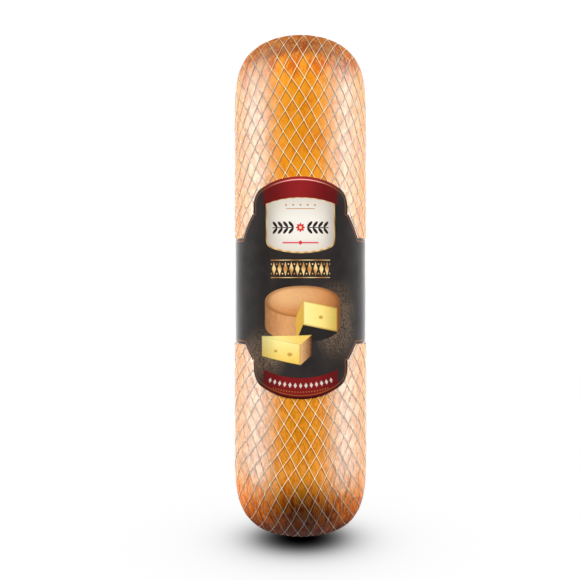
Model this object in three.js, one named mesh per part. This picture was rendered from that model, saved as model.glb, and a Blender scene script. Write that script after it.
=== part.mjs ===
// A whole log of smoked provolone standing on end: the cheese, the thread net drawn over it
// and the printed band wrapped round its middle. Millimetres, +Z up, the label faces -Y.
import * as THREE from "three";

// ---- driving dimensions ----
const cheeseRadius = 58.5;
const logHeight = 437.2;
const flatRadius = 22; // the small flat that the log stands on
const topDome = { height: 92, radial: 2.04, axial: 4.9, stretch: 1.095 };
const bottomDome = { height: 67, radial: 3.7, axial: 3.0, stretch: 1.05 };

const netThread = { width: 1.1, height: 0.65, lift: 0.42 };
const netClearance = 0.13; // kept between the rind and the straight stretches of thread
const netColumns = 16; // strands of each slant round the log
const netRowPitch = 18.7; // from one row of knots to the next
const netRowCentre = 240; // height at which the rows of knots lie level
const netRowBow = 0.095; // share by which the rows close up towards the sides
const netRimRadius = 30; // the threads stop short of the flat

const labelWrap = { innerRadius: 59.75, thickness: 0.4 };
const bandEdges = { bottom: 167, top: 257.5 };
const badgeHalfWidth = 43.2; // measured round the curve
const badgeArcRadius = 72;
const badgeCornerRadius = 14;
const badgeTop = { apex: 307.1, neck: 279.1, foot: 58.0, bulge: 1.0 };
const badgeBottom = { apex: 124.1, neck: 152.6, foot: 55.0, bulge: 0.6 };

// ---- mesh fineness ----
const cheeseSegments = 56;
const topDomeSteps = 17;
const bottomDomeSteps = 12;
const bodyRings = 4;
const profileEasing = 1.5; // closes the rings up towards the body
const mostStrandSteps = 6;
const badgeColumns = 34;
const flareColumns = 6;
const bandColumns = 44;
const neckStep = 0.15; // round the curve, where the badge's side drops to the band

// ---- materials ----
const smokedRind = new THREE.MeshStandardMaterial({ color: 0xe39a3c, roughness: 0.45, metalness: 0 });
const creamThread = new THREE.MeshStandardMaterial({ color: 0xf2e3c0, roughness: 0.8, metalness: 0 });
const blackFilm = new THREE.MeshStandardMaterial({ color: 0x242120, roughness: 0.4, metalness: 0 });

// ---- the log's own shape ----
// Each end is a superellipse turned about Z: (r / cheeseRadius)^radial + (h / height)^axial = 1.
function domeRadius(dome, h) {
  const share = Math.min(1, Math.max(0, h / dome.height));
  return cheeseRadius * (1 - share ** dome.axial) ** (1 / dome.radial);
}

function domeHeight(dome, r) {
  const share = Math.min(1, Math.abs(r) / cheeseRadius);
  return dome.height * (1 - share ** dome.radial) ** (1 / dome.axial);
}

const topDomeStart = logHeight - topDome.height;
const bottomDomeStart = domeHeight(bottomDome, flatRadius);

function domeProfile(dome, steps, lastRadius) {
  const lastAngle = Math.acos((lastRadius / cheeseRadius) ** (dome.radial / 2));
  return Array.from({ length: steps + 1 }, (_, k) => {
    const angle = lastAngle * (k / steps) ** profileEasing;
    const r = cheeseRadius * Math.cos(angle) ** (2 / dome.radial);
    return [Math.max(r, lastRadius), domeHeight(dome, r)];
  });
}

function cheeseGeometry() {
  const lower = domeProfile(bottomDome, bottomDomeSteps, flatRadius).reverse();
  const upper = domeProfile(topDome, topDomeSteps, 0);
  const bodyLength = topDomeStart - bottomDomeStart;
  const body = Array.from({ length: bodyRings - 1 }, (_, k) => [
    cheeseRadius,
    bottomDomeStart + (bodyLength * (k + 1)) / bodyRings,
  ]);
  const points = [
    [0, 0],
    ...lower.map(([r, h]) => [r, bottomDomeStart - h]),
    ...body,
    ...upper.map(([r, h]) => [r, topDomeStart + h]),
  ].map(([r, z]) => new THREE.Vector2(r, z));
  points[1].y = 0;
  points.at(-1).set(0, logHeight);
  return new THREE.LatheGeometry(points, cheeseSegments).rotateX(Math.PI / 2);
}

// ---- the net's way over the log ----
// The net is a flat tube of mesh, closed by a straight seam across each end. "turn" is the angle
// round from the front, and "row" the height that a thread would have if the log had no ends.
function rowSpread(turn) {
  return 1 - netRowBow * Math.sin(turn) ** 2;
}

const ends = {
  top: { dome: topDome, start: topDomeStart, up: 1 },
  bottom: { dome: bottomDome, start: bottomDomeStart, up: -1 },
};

function endReach(end, turn) {
  const archHeight = domeHeight(end.dome, cheeseRadius * Math.sin(turn));
  const firstRow = netRowCentre + (end.start - netRowCentre) / rowSpread(turn);
  return { archHeight, firstRow, rows: end.dome.stretch * archHeight };
}

function seamRow(end, turn) {
  const { firstRow, rows } = endReach(end, turn);
  return firstRow + end.up * rows;
}

function netPoint(turn, row) {
  const x = cheeseRadius * Math.sin(turn);
  const side = Math.cos(turn) < 0 ? 1 : -1;
  const z = netRowCentre + (row - netRowCentre) * rowSpread(turn);
  const end = z > netRowCentre ? ends.top : ends.bottom;
  if ((z - end.start) * end.up <= 0) return new THREE.Vector3(x, -cheeseRadius * Math.cos(turn), z);
  const { archHeight, firstRow, rows } = endReach(end, turn);
  const { dome } = end;
  const u = Math.min(1, ((row - firstRow) * end.up) / rows);
  const h = archHeight * (dome.stretch * u - (dome.stretch - 1) * u ** (dome.stretch / (dome.stretch - 1)));
  const r = domeRadius(dome, h);
  return new THREE.Vector3(x, side * Math.sqrt(Math.max(0, r * r - x * x)), end.start + end.up * h);
}

function surfaceNormal(p) {
  const end = p.z > netRowCentre ? ends.top : ends.bottom;
  const h = (p.z - end.start) * end.up;
  const r = Math.hypot(p.x, p.y);
  if (h <= 0) return new THREE.Vector3(p.x / r, p.y / r, 0);
  const { dome } = end;
  const outward = (dome.radial / cheeseRadius) * (r / cheeseRadius) ** (dome.radial - 1);
  const upward = (dome.axial / dome.height) * (h / dome.height) ** (dome.axial - 1);
  return new THREE.Vector3((p.x / r) * outward, (p.y / r) * outward, end.up * upward).normalize();
}

// ---- the net as one lattice of three-sided threads ----
const columnTurn = (2 * Math.PI) / netColumns;
const headings = {
  upRight: { turn: 0.5, row: 1, left: "up", right: "right", arriveLeft: "left", arriveRight: "down" },
  upLeft: { turn: -0.5, row: 1, left: "left", right: "up", arriveLeft: "down", arriveRight: "right" },
  downRight: { turn: 0.5, row: -1, left: "right", right: "down" },
  downLeft: { turn: -0.5, row: -1, left: "down", right: "left" },
};
const acrossSeam = { up: "up", down: "down", left: "right", right: "left" };
const directionReach = 0.02; // share of a strand that its direction is taken over
const rimReach = 0.01; // rows beyond a strand's end at which the rim is looked for
const leastLean = 0.5; // keeps a section from growing too wide where a thread runs along the seam
const halvings = 30;

function threadDirection(turn, row, heading) {
  const aheadTurn = turn + heading.turn * columnTurn * directionReach;
  const aheadRow = row + heading.row * netRowPitch * directionReach;
  return netPoint(aheadTurn, aheadRow).sub(netPoint(turn, row)).normalize();
}

function knot(column, rowIndex) {
  const turn = (column + (rowIndex % 2 ? 0.5 : 0)) * columnTurn;
  const row = netRowCentre + rowIndex * netRowPitch;
  const foot = netPoint(turn, row);
  const normal = surfaceNormal(foot);
  const first = threadDirection(turn, row, headings.upRight);
  const second = threadDirection(turn, row, headings.upLeft);
  const scale = netThread.width / 2 / Math.sin(first.angleTo(second));
  const base = foot.clone().addScaledVector(normal, netThread.lift);
  const along = first.clone().add(second).multiplyScalar(scale);
  const across = first.clone().sub(second).multiplyScalar(scale);
  return {
    turn,
    row,
    column,
    rowIndex,
    up: base.clone().add(along),
    down: base.clone().sub(along),
    right: base.clone().add(across),
    left: base.clone().sub(across),
    crest: base.clone().addScaledVector(normal, netThread.height),
  };
}

function threadSection(turn, row, heading) {
  const foot = netPoint(turn, row);
  const normal = surfaceNormal(foot);
  const toRight = threadDirection(turn, row, heading).cross(normal).normalize();
  const base = foot.addScaledVector(normal, netThread.lift);
  return {
    left: base.clone().addScaledVector(toRight, -netThread.width / 2),
    right: base.clone().addScaledVector(toRight, netThread.width / 2),
    crest: base.clone().addScaledVector(normal, netThread.height),
  };
}

// Where a thread meets the seam its section lies in the plane of the seam, so that the thread
// of the back sheet can start from the same three points.
function seamSection(turn, row, heading) {
  const earlierTurn = turn - heading.turn * columnTurn * directionReach;
  const earlierRow = row - heading.row * netRowPitch * directionReach;
  const before = threadSection(earlierTurn, earlierRow, heading);
  const foot = netPoint(turn, row).setY(0);
  const normal = surfaceNormal(foot).setY(0).normalize();
  const seamLine = new THREE.Vector3(0, 1, 0).cross(normal);
  const toRight = before.right.clone().sub(before.left).normalize();
  const lean = Math.max(Math.abs(seamLine.dot(toRight)), leastLean) * Math.sign(seamLine.dot(toRight));
  const base = foot.addScaledVector(normal, netThread.lift);
  return {
    left: base.clone().addScaledVector(seamLine, -netThread.width / 2 / lean),
    right: base.clone().addScaledVector(seamLine, netThread.width / 2 / lean),
    crest: base.clone().addScaledVector(normal, netThread.height),
  };
}

function rimIsPassed(turn, row) {
  const p = netPoint(turn, row);
  return p.z < bottomDomeStart && Math.hypot(p.x, p.y) < netRimRadius;
}

function isOnLog(turn, row) {
  return row < seamRow(ends.top, turn) && row > seamRow(ends.bottom, turn) && !rimIsPassed(turn, row);
}

// How far along its way a thread that leaves the log gets, as a share from 0 to 1.
function shareOnLog(start, heading) {
  let inside = 0;
  let outside = 1;
  for (let k = 0; k < halvings; k++) {
    const middle = (inside + outside) / 2;
    const turn = start.turn + heading.turn * columnTurn * middle;
    if (isOnLog(turn, start.row + heading.row * netRowPitch * middle)) inside = middle;
    else outside = middle;
  }
  return inside;
}

// The fewest straight stretches that keep a thread clear of the rind's curve.
function stepsFor(start, heading, reach) {
  const at = (share) =>
    netPoint(start.turn + heading.turn * columnTurn * share, start.row + heading.row * netRowPitch * share);
  for (let steps = 1; steps < mostStrandSteps; steps++) {
    const sags = Array.from({ length: steps }, (_, k) => {
      const middle = at((reach * (k + 0.5)) / steps);
      const chord = at((reach * k) / steps).add(at((reach * (k + 1)) / steps)).multiplyScalar(0.5);
      return middle.clone().sub(chord).dot(surfaceNormal(middle));
    });
    if (Math.max(...sags) < netThread.lift - netClearance) return steps;
  }
  return mostStrandSteps;
}

function mirrored(section) {
  const flip = (v) => new THREE.Vector3(v.x, -v.y, v.z);
  return { left: flip(section.left), right: flip(section.right), crest: flip(section.crest) };
}

function netGeometry() {
  const corners = [];
  const triangle = (a, b, c) => corners.push(a, b, c);
  const quad = (a, b, c, d) => {
    triangle(a, b, c);
    triangle(a, c, d);
  };
  const skin = (sections) => {
    for (let k = 1; k < sections.length; k++) {
      const near = sections[k - 1];
      const far = sections[k];
      quad(near.left, near.crest, far.crest, far.left);
      quad(near.crest, near.right, far.right, far.crest);
      quad(near.right, near.left, far.left, far.right);
    }
  };

  const knots = new Map();
  const key = (column, rowIndex) => ((column + netColumns) % netColumns) + ":" + rowIndex;
  const mostRows = Math.ceil(logHeight / netRowPitch);
  for (let rowIndex = -mostRows; rowIndex <= mostRows; rowIndex++) {
    for (let column = 0; column < netColumns; column++) {
      const made = knot(column, rowIndex);
      if (isOnLog(made.turn, made.row)) knots.set(key(column, rowIndex), made);
    }
  }

  const neighbour = (from, heading) => {
    const shifted = from.rowIndex % 2 ? 0.5 : 0;
    return knots.get(key(Math.floor(from.column + shifted + heading.turn), from.rowIndex + heading.row));
  };
  const across = (from) => {
    const shifted = from.rowIndex % 2 ? 1 : 0;
    return knots.get(key(netColumns / 2 - from.column - shifted + netColumns, from.rowIndex));
  };
  const between = (from, heading, reach, steps) =>
    Array.from({ length: steps - 1 }, (_, k) => {
      const share = (reach * (k + 1)) / steps;
      const turn = from.turn + heading.turn * columnTurn * share;
      return threadSection(turn, from.row + heading.row * netRowPitch * share, heading);
    });
  for (const from of knots.values()) {
    quad(from.up, from.right, from.down, from.left);
    for (const heading of Object.values(headings)) {
      const first = { left: from[heading.left], right: from[heading.right], crest: from.crest };
      const to = neighbour(from, heading);
      if (to) {
        if (heading.row < 0) continue;
        const steps = stepsFor(from, heading, 1);
        const last = { left: to[heading.arriveLeft], right: to[heading.arriveRight], crest: to.crest };
        skin([first, ...between(from, heading, 1, steps), last]);
        continue;
      }
      const reach = shareOnLog(from, heading);
      const steps = stepsFor(from, heading, reach);
      const middle = between(from, heading, reach, steps);
      const endTurn = from.turn + heading.turn * columnTurn * reach;
      const endRow = from.row + heading.row * netRowPitch * reach;
      if (rimIsPassed(endTurn, endRow + heading.row * rimReach)) {
        const tip = threadSection(endTurn, endRow, heading);
        skin([first, ...middle, tip]);
        triangle(tip.left, tip.crest, tip.right);
      } else if (Math.cos(from.turn) > 0) {
        const over = across(from);
        const last = {
          left: over[acrossSeam[heading.left]],
          right: over[acrossSeam[heading.right]],
          crest: over.crest,
        };
        const back = middle.map(mirrored).reverse();
        skin([first, ...middle, seamSection(endTurn, endRow, heading), ...back, last]);
      }
    }
  }
  return new THREE.BufferGeometry().setFromPoints(corners);
}

// ---- the label: a thin band with a taller badge on its front ----
function badgeEdge(badge, along) {
  const inward = badge === badgeTop ? -1 : 1;
  const bandEdge = badge === badgeTop ? bandEdges.top : bandEdges.bottom;
  const arcCentre = badge.apex + inward * badgeArcRadius;
  const cornerAlong = badgeHalfWidth - badgeCornerRadius;
  const cornerRise = Math.sqrt((badgeArcRadius - badgeCornerRadius) ** 2 - cornerAlong ** 2);
  const tangentAlong = (cornerAlong * badgeArcRadius) / (badgeArcRadius - badgeCornerRadius);
  if (along <= tangentAlong) return arcCentre - inward * Math.sqrt(badgeArcRadius ** 2 - along ** 2);
  if (along <= badgeHalfWidth) {
    const fromCorner = Math.sqrt(Math.max(0, badgeCornerRadius ** 2 - (along - cornerAlong) ** 2));
    return arcCentre - inward * (cornerRise + fromCorner);
  }
  if (along >= badge.foot) return bandEdge;
  const share = (along - badgeHalfWidth) / (badge.foot - badgeHalfWidth);
  return badge.neck + (bandEdge - badge.neck) * share - inward * badge.bulge * Math.sin(Math.PI * share);
}

function labelStations() {
  const outerRadius = labelWrap.innerRadius + labelWrap.thickness;
  const halfRound = Math.PI * outerRadius;
  const half = [0];
  const spread = (from, to, count, easing) => {
    for (let k = 1; k <= count; k++) half.push(from + (to - from) * easing(k / count));
  };
  spread(0, badgeHalfWidth, badgeColumns / 2, (s) => Math.sin((s * Math.PI) / 2));
  half.push(badgeHalfWidth + neckStep);
  spread(badgeHalfWidth + neckStep, badgeBottom.foot, flareColumns, (s) => s);
  half.push(badgeTop.foot);
  spread(badgeTop.foot, halfRound, bandColumns / 2, (s) => s);
  const right = half.map((along) => ({ along, angle: along / outerRadius }));
  const left = right.slice(1, -1).reverse().map(({ along, angle }) => ({ along, angle: -angle }));
  return [...right, ...left];
}

function labelGeometry() {
  const rings = labelStations().map(({ along, angle }) => {
    const top = badgeEdge(badgeTop, along);
    const bottom = badgeEdge(badgeBottom, along);
    const at = (radius, z) => new THREE.Vector3(radius * Math.sin(angle), -radius * Math.cos(angle), z);
    const inner = labelWrap.innerRadius;
    const outer = inner + labelWrap.thickness;
    return [at(inner, bottom), at(outer, bottom), at(outer, top), at(inner, top)];
  });
  const corners = [];
  rings.forEach((ring, k) => {
    const next = rings[(k + 1) % rings.length];
    ring.forEach((corner, side) => {
      const other = (side + 1) % ring.length;
      corners.push(corner, next[side], next[other], corner, next[other], ring[other]);
    });
  });
  return new THREE.BufferGeometry().setFromPoints(corners);
}

// ---- the part ----
function piece(name, geometry, material) {
  const mesh = new THREE.Mesh(geometry, material);
  mesh.name = name;
  return mesh;
}

const provolone = new THREE.Group();
provolone.add(
  piece("cheese", cheeseGeometry(), smokedRind),
  piece("net", netGeometry(), creamThread),
  piece("label", labelGeometry(), blackFilm),
);

export default provolone;
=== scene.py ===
import math
from functools import reduce

import bpy
import numpy as np
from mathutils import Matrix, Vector


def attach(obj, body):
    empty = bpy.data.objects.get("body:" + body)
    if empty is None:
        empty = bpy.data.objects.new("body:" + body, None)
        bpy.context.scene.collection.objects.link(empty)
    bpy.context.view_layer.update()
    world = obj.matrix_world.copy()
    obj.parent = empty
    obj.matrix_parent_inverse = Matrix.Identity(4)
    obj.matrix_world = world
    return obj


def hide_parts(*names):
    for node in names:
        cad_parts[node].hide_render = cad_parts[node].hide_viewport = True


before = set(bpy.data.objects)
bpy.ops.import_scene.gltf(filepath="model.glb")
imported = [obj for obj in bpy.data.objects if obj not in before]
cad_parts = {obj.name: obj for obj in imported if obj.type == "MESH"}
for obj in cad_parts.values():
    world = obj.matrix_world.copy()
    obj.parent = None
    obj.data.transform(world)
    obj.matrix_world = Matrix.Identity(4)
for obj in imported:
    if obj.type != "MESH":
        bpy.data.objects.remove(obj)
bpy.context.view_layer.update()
print("frame loaded:", ", ".join(sorted(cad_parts)))


# node trees from Python expressions
class Wire:  # one output socket; arithmetic on it adds Math nodes
    def __init__(self, graph, socket):
        self.graph = graph
        self.socket = socket

    def math(self, operation, *others):
        return self.graph.math(operation, self, *others)

    def __abs__(self):
        return self.graph.math("ABSOLUTE", self)

    def clamped(self):
        return self.graph.add("ShaderNodeClamp", {"Value": self})

    def rising(self, low, high):  # 0 at low, 1 at high, eased; low may be the larger
        limits = {"Value": self, "From Min": low, "From Max": high}
        return self.graph.add("ShaderNodeMapRange", limits, {"interpolation_type": "SMOOTHSTEP"})


def arithmetic(operation, swapped):
    def apply(self, other):
        return self.graph.math(operation, *((other, self) if swapped else (self, other)))

    return apply


operators = {"add": "ADD", "sub": "SUBTRACT", "mul": "MULTIPLY", "truediv": "DIVIDE", "pow": "POWER"}
for name, operation in operators.items():
    setattr(Wire, f"__{name}__", arithmetic(operation, False))
    setattr(Wire, f"__r{name}__", arithmetic(operation, True))


class Graph:
    def __init__(self, tree):
        self.tree = tree

    def find(self, sockets, key):
        if isinstance(key, int):
            return sockets[key]
        return next(s for s in sockets if s.identifier == key or (s.enabled and s.name == key))

    def add(self, kind, inputs=None, settings=None, output=0):
        node = self.tree.nodes.new(kind)
        for name, value in (settings or {}).items():
            setattr(node, name, value)
        for key, value in (inputs or {}).items():
            target = self.find(node.inputs, key)
            if isinstance(value, Wire):
                self.tree.links.new(value.socket, target)
            else:
                target.default_value = value
        return Wire(self, self.find(node.outputs, output)) if node.outputs else None

    def outputs(self, wire, *names):
        return [Wire(self, self.find(wire.socket.node.outputs, name)) for name in names]

    def math(self, operation, *values):
        return self.add("ShaderNodeMath", dict(enumerate(values)), {"operation": operation})

    def vector(self, operation, *values, **named):
        inputs = {**dict(enumerate(values)), **named}
        return self.add("ShaderNodeVectorMath", inputs, {"operation": operation})

    def parts(self, vector):
        first = self.add("ShaderNodeSeparateXYZ", {"Vector": vector})
        return self.outputs(first, "X", "Y", "Z")

    def joined(self, x, y, z):
        return self.add("ShaderNodeCombineXYZ", {"X": x, "Y": y, "Z": z})

    # size is one feature's, in the vector's unit
    def noise(self, vector, size, detail, roughness=0.5, distortion=0.0):
        values = {"Vector": vector, "Scale": 1 / size, "Detail": detail}
        values |= {"Roughness": roughness, "Distortion": distortion}
        return self.add("ShaderNodeTexNoise", values)

    def tint(self, factor, under, over):  # over lies on under where factor is 1
        colours = {"Factor_Float": factor}
        for key, colour in (("A_Color", under), ("B_Color", over)):
            colours[key] = colour if isinstance(colour, Wire) else (*colour, 1)
        return self.add("ShaderNodeMix", colours, {"data_type": "RGBA"}, "Result_Color")

    def bump(self, height, strength=1.0):  # height in millimetres
        values = {"Height": height, "Distance": 0.001, "Strength": strength}
        return self.add("ShaderNodeBump", values)

    def then(self, kind, shape, **named):  # the next step of a Geometry Nodes tree
        return self.add("GeometryNode" + kind, {0: shape, **named})


def newMaterial(name):
    material = bpy.data.materials.new(name)
    material.use_nodes = True
    material.node_tree.nodes.clear()
    return material, Graph(material.node_tree)


def principled(graph, surface, colour, roughness, normal):
    values = {**surface, "Base Color": colour, "Roughness": roughness, "Normal": normal}
    return graph.add("ShaderNodeBsdfPrincipled", values)


def finishMaterial(graph, shader):
    graph.add("ShaderNodeOutputMaterial", {"Surface": shader})


def marked(graph, name):  # what the mesh carries under that name
    return graph.add("ShaderNodeAttribute", {}, {"attribute_name": name}, "Fac")


def millimetres(graph):  # the object's own coordinates
    place = graph.add("ShaderNodeTexCoord", output="Object")
    return graph.vector("SCALE", place, Scale=1000.0)


# Geometry Nodes
socketKinds = {float: "NodeSocketFloat", int: "NodeSocketInt"}


def newShapeTree(name, values):  # values: {input's name: what the modifier sets it to}
    tree = bpy.data.node_groups.new(name, "GeometryNodeTree")
    tree.interface.new_socket(name="Geometry", in_out="INPUT", socket_type="NodeSocketGeometry")
    tree.interface.new_socket(name="Geometry", in_out="OUTPUT", socket_type="NodeSocketGeometry")
    for label, value in values.items():
        kind = socketKinds.get(type(value)) or "NodeSocket" + type(value).__name__
        tree.interface.new_socket(name=label, in_out="INPUT", socket_type=kind)
    graph = Graph(tree)
    inlet = graph.add("NodeGroupInput")
    return tree, graph, {s.name: Wire(graph, s) for s in inlet.socket.node.outputs if s.name}


def finishShape(graph, inlet, shape):
    shape = graph.then("RealizeInstances", shape)
    shape = graph.then("SetShadeSmooth", shape)
    shape = graph.then("SetMaterial", shape, Material=inlet["Material"])
    graph.add("NodeGroupOutput", {"Geometry": shape})


def applyShapeTree(piece, tree, values):
    modifier = piece.modifiers.new("shape", "NODES")
    modifier.node_group = tree
    for item in tree.interface.items_tree:
        if item.in_out == "INPUT" and item.name in values:
            modifier[item.identifier] = values[item.name]
    bpy.context.view_layer.update()
    shown = piece.evaluated_get(bpy.context.evaluated_depsgraph_get())
    mesh = bpy.data.meshes.new_from_object(shown)
    piece.modifiers.remove(modifier)
    spare = piece.data
    piece.data = mesh
    bpy.data.meshes.remove(spare)
    mesh.name = piece.name
    return piece


def newObject(name, data):
    made = bpy.data.objects.new(name, data)
    bpy.context.scene.collection.objects.link(made)
    return made


def newPiece(name, points=(), edges=(), faces=()):
    mesh = bpy.data.meshes.new(name)
    mesh.from_pydata([tuple(p) for p in points], [tuple(e) for e in edges], [tuple(f) for f in faces])
    return newObject(name, mesh)


# the log's shape, in millimetres
log = {
    "radius": 58.5,
    "height": 437.2,
    "footRadius": 22.0,
    "top": {"height": 92.0, "radial": 2.04, "axial": 4.9, "stretch": 1.095},
    "bottom": {"height": 67.0, "radial": 3.7, "axial": 3.0, "stretch": 1.05},
}


def domeRadius(dome, h):
    share = np.clip(h / dome["height"], 0, 1)
    return log["radius"] * (1 - share ** dome["axial"]) ** (1 / dome["radial"])


def domeHeight(dome, r):
    share = np.clip(np.abs(r) / log["radius"], 0, 1)
    return dome["height"] * (1 - share ** dome["radial"]) ** (1 / dome["axial"])


topEnd = {**log["top"], "start": log["height"] - log["top"]["height"], "up": 1}
bottomEnd = {**log["bottom"], "start": float(domeHeight(log["bottom"], log["footRadius"])), "up": -1}


# The net is a flat tube of mesh with a straight seam over each end. "turn" is the angle round from
# the front, and "row" the height that a thread would have if the log had no ends.
net = {
    "columns": 30,  # strands of each slant
    "sideWidening": (0.234, 0.116),  # the mesh is drawn wider at both sides
    "leftPull": 0.06,  # and a little further round on the left
    "leftEasing": 1.5,
    "rowPitch": 17.34,  # two rows of knots
    "knotRow": 371.1,  # a row with a knot near the middle of the front
    "rowCentre": 240.0,  # here the rows lie level
    "rowBow": 0.095,
    # sideways, in columns
    "drift": {"mean": 0.245, "slope": 0.00042, "swing": 0.115, "crest": 372.8, "period": 71.1},
    # the mesh is stretched at both ends: from which row, over how far and by how much
    "pull": {"top": (371.1, 52.0, 8.0), "bottom": (111.0, 95.4, -7.0), "power": 2.5},
    "rimRadius": 30.0,  # threads stop short of the foot
    "rimBelow": 100.0,
    "seamThickness": 1.5,
}
netFineness = {
    "knotSpan": (-50, 12),  # half pitches from the knot row that cover the log
    "bodySteps": 2,  # from one knot to the next
    "endSteps": 3,
    "halvings": 24,  # in the search for a strand's end
    "seamSteps": {"top": 90, "bottom": 30},
    "archShares": 400,
    "tableRows": (-200, 700, 3601),
    "tableShares": 1441,
}
netShape = {
    "Thread Radius": 0.245 / 1000,
    "Thread Sides": 6,
    "Knot Size": 0.62 / 1000,
    "Knot Rings": 4,
    "Knot Flatness": 0.55,
    "Lift": 0.02 / 1000,  # from the rind to a thread's middle
}
columnTurn = 2 * math.pi / net["columns"]


def pulledRow(row):
    pull = net["pull"]
    for start, span, reach in (pull["top"], pull["bottom"]):
        beyond = np.clip((row - start) * math.copysign(1, reach) / span, 0, None)
        row = row + reach * beyond ** pull["power"]
    return row


def rowSpread(turn):
    return 1 - net["rowBow"] * np.sin(turn) ** 2


def endReach(end, turn):
    arch = np.maximum(domeHeight(end, log["radius"] * np.sin(turn)), 1e-6)
    firstRow = net["rowCentre"] + (end["start"] - net["rowCentre"]) / rowSpread(turn)
    return arch, firstRow, end["stretch"] * arch


def archRise(end, share):  # how far up its arch a share of a dome's rows comes
    stretch = end["stretch"]
    return stretch * share - (stretch - 1) * share ** (stretch / (stretch - 1))


def netPoint(turn, row):
    x = log["radius"] * np.sin(turn)
    y = -log["radius"] * np.cos(turn)
    z = net["rowCentre"] + (row - net["rowCentre"]) * rowSpread(turn)
    side = np.where(np.cos(turn) < 0, 1, -1)
    for end, here in ((topEnd, z > topEnd["start"]), (bottomEnd, z < bottomEnd["start"])):
        arch, firstRow, rows = endReach(end, turn)
        h = arch * archRise(end, np.clip((row - firstRow) * end["up"] / rows, 0, 1))
        inDepth = np.sqrt(np.maximum(domeRadius(end, h) ** 2 - x * x, 0))
        y = np.where(here, side * inDepth, y)
        z = np.where(here, end["start"] + end["up"] * h, z)
    return np.stack([x, y, z], -1)


def outwardAt(points):
    x, y, z = points.T
    r = np.maximum(np.hypot(x, y), 1e-6)
    normal = np.stack([x / r, y / r, 0 * r], -1)
    for end in (topEnd, bottomEnd):
        h = (z - end["start"]) * end["up"]
        outward = end["radial"] / log["radius"] * (r / log["radius"]) ** (end["radial"] - 1)
        upward = end["axial"] / end["height"] * np.clip(h / end["height"], 0, 1) ** (end["axial"] - 1)
        tilted = np.stack([x / r * outward, y / r * outward, end["up"] * upward], -1)
        tilted /= np.linalg.norm(tilted, axis=1)[:, None]
        normal = np.where((h > 0)[:, None], tilted, normal)
    return normal


def driftAt(row):
    drift = net["drift"]
    swing = drift["swing"] * np.cos(2 * np.pi * (row - drift["crest"]) / drift["period"])
    return drift["mean"] + drift["slope"] * (row - net["rowCentre"]) + swing


def turnAt(share):  # share counts columns round from the front
    turn = share * columnTurn
    broad, narrow = net["sideWidening"]
    turn = turn - broad / 2 * np.sin(2 * turn) + narrow / 4 * np.sin(4 * turn)
    return turn - net["leftPull"] * np.maximum(-np.sin(turn), 0) ** net["leftEasing"]


def strandTurn(slant, column, row):
    return turnAt(column + driftAt(row) + slant * (row - net["knotRow"]) / net["rowPitch"])


def isOnLog(slant, column, row):
    turn = strandTurn(slant, column, row)
    shown = pulledRow(row)
    inside = np.ones_like(row, bool)
    for end in (topEnd, bottomEnd):
        arch, firstRow, rows = endReach(end, turn)
        inside &= (shown - firstRow) * end["up"] < rows
    x, y, z = netPoint(turn, shown).T
    return inside & ~((z < bottomEnd["start"]) & (np.hypot(x, y) < net["rimRadius"]))


def strandEnd(slant, column, inside, outside):
    for _ in range(netFineness["halvings"]):
        middle = (inside + outside) / 2
        if isOnLog(slant, column, np.array([middle]))[0]:
            inside = middle
        else:
            outside = middle
    return inside


def strand(slant, column):  # rows of its stations, and which of them are knots
    half = net["rowPitch"] / 2
    knots = net["knotRow"] + np.arange(*netFineness["knotSpan"]) * half
    on = isOnLog(slant, column, knots)
    middle = int(np.argmin(np.abs(knots - net["rowCentre"])))
    first = middle - int(np.argmin(on[middle::-1])) + 1
    last = middle + int(np.argmin(on[middle:])) - 1
    stops = [strandEnd(slant, column, knots[first], knots[first] - half), *knots[first : last + 1]]
    stops.append(strandEnd(slant, column, knots[last], knots[last] + half))
    rows, isKnot = [], []
    for k in range(len(stops) - 1):
        onBody = bottomEnd["start"] < stops[k] < topEnd["start"] - half
        spans = netFineness["bodySteps" if onBody else "endSteps"]
        rows += list(np.linspace(stops[k], stops[k + 1], spans, endpoint=False))
        isKnot += [0 < k and slant > 0] + [False] * (spans - 1)
    return np.array([*rows, stops[-1]]), np.array([*isKnot, False])


def netPlaces(points, middles):  # columns round and pitches up, at points of faces with these middles
    def turnOf(places, isFront):
        turn = np.arctan2(places[:, 0], -places[:, 1])
        for end in (topEnd, bottomEnd):
            h = (places[:, 2] - end["start"]) * end["up"]
            flat = np.arcsin(np.clip(domeRadius(end, h) * np.sin(turn) / log["radius"], -1, 1))
            turn = np.where(h > 0, np.where(isFront, flat, math.pi - flat), turn)
        return turn

    isFront = middles[:, 1] < 0
    turn = turnOf(points, isFront)
    turn += 2 * np.pi * np.round((turnOf(middles, isFront) - turn) / (2 * np.pi))
    z = points[:, 2]
    pulled = net["rowCentre"] + (z - net["rowCentre"]) / rowSpread(turn)
    for end in (topEnd, bottomEnd):
        arch, firstRow, rows = endReach(end, turn)
        share = np.linspace(0, 1, netFineness["archShares"])
        h = (z - end["start"]) * end["up"]
        share = np.interp(h / arch, archRise(end, share), share)
        pulled = np.where(h > 0, firstRow + end["up"] * rows * share, pulled)
    allRows = np.linspace(*netFineness["tableRows"])
    row = np.interp(pulled, pulledRow(allRows), allRows)
    allShares = np.linspace(-net["columns"] / 2, net["columns"] / 2, netFineness["tableShares"])
    laps = np.round(turn / (2 * np.pi))
    share = np.interp(turn - 2 * np.pi * laps, turnAt(allShares), allShares) + laps * net["columns"]
    return share - driftAt(row), (row - net["knotRow"]) / net["rowPitch"]


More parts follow.
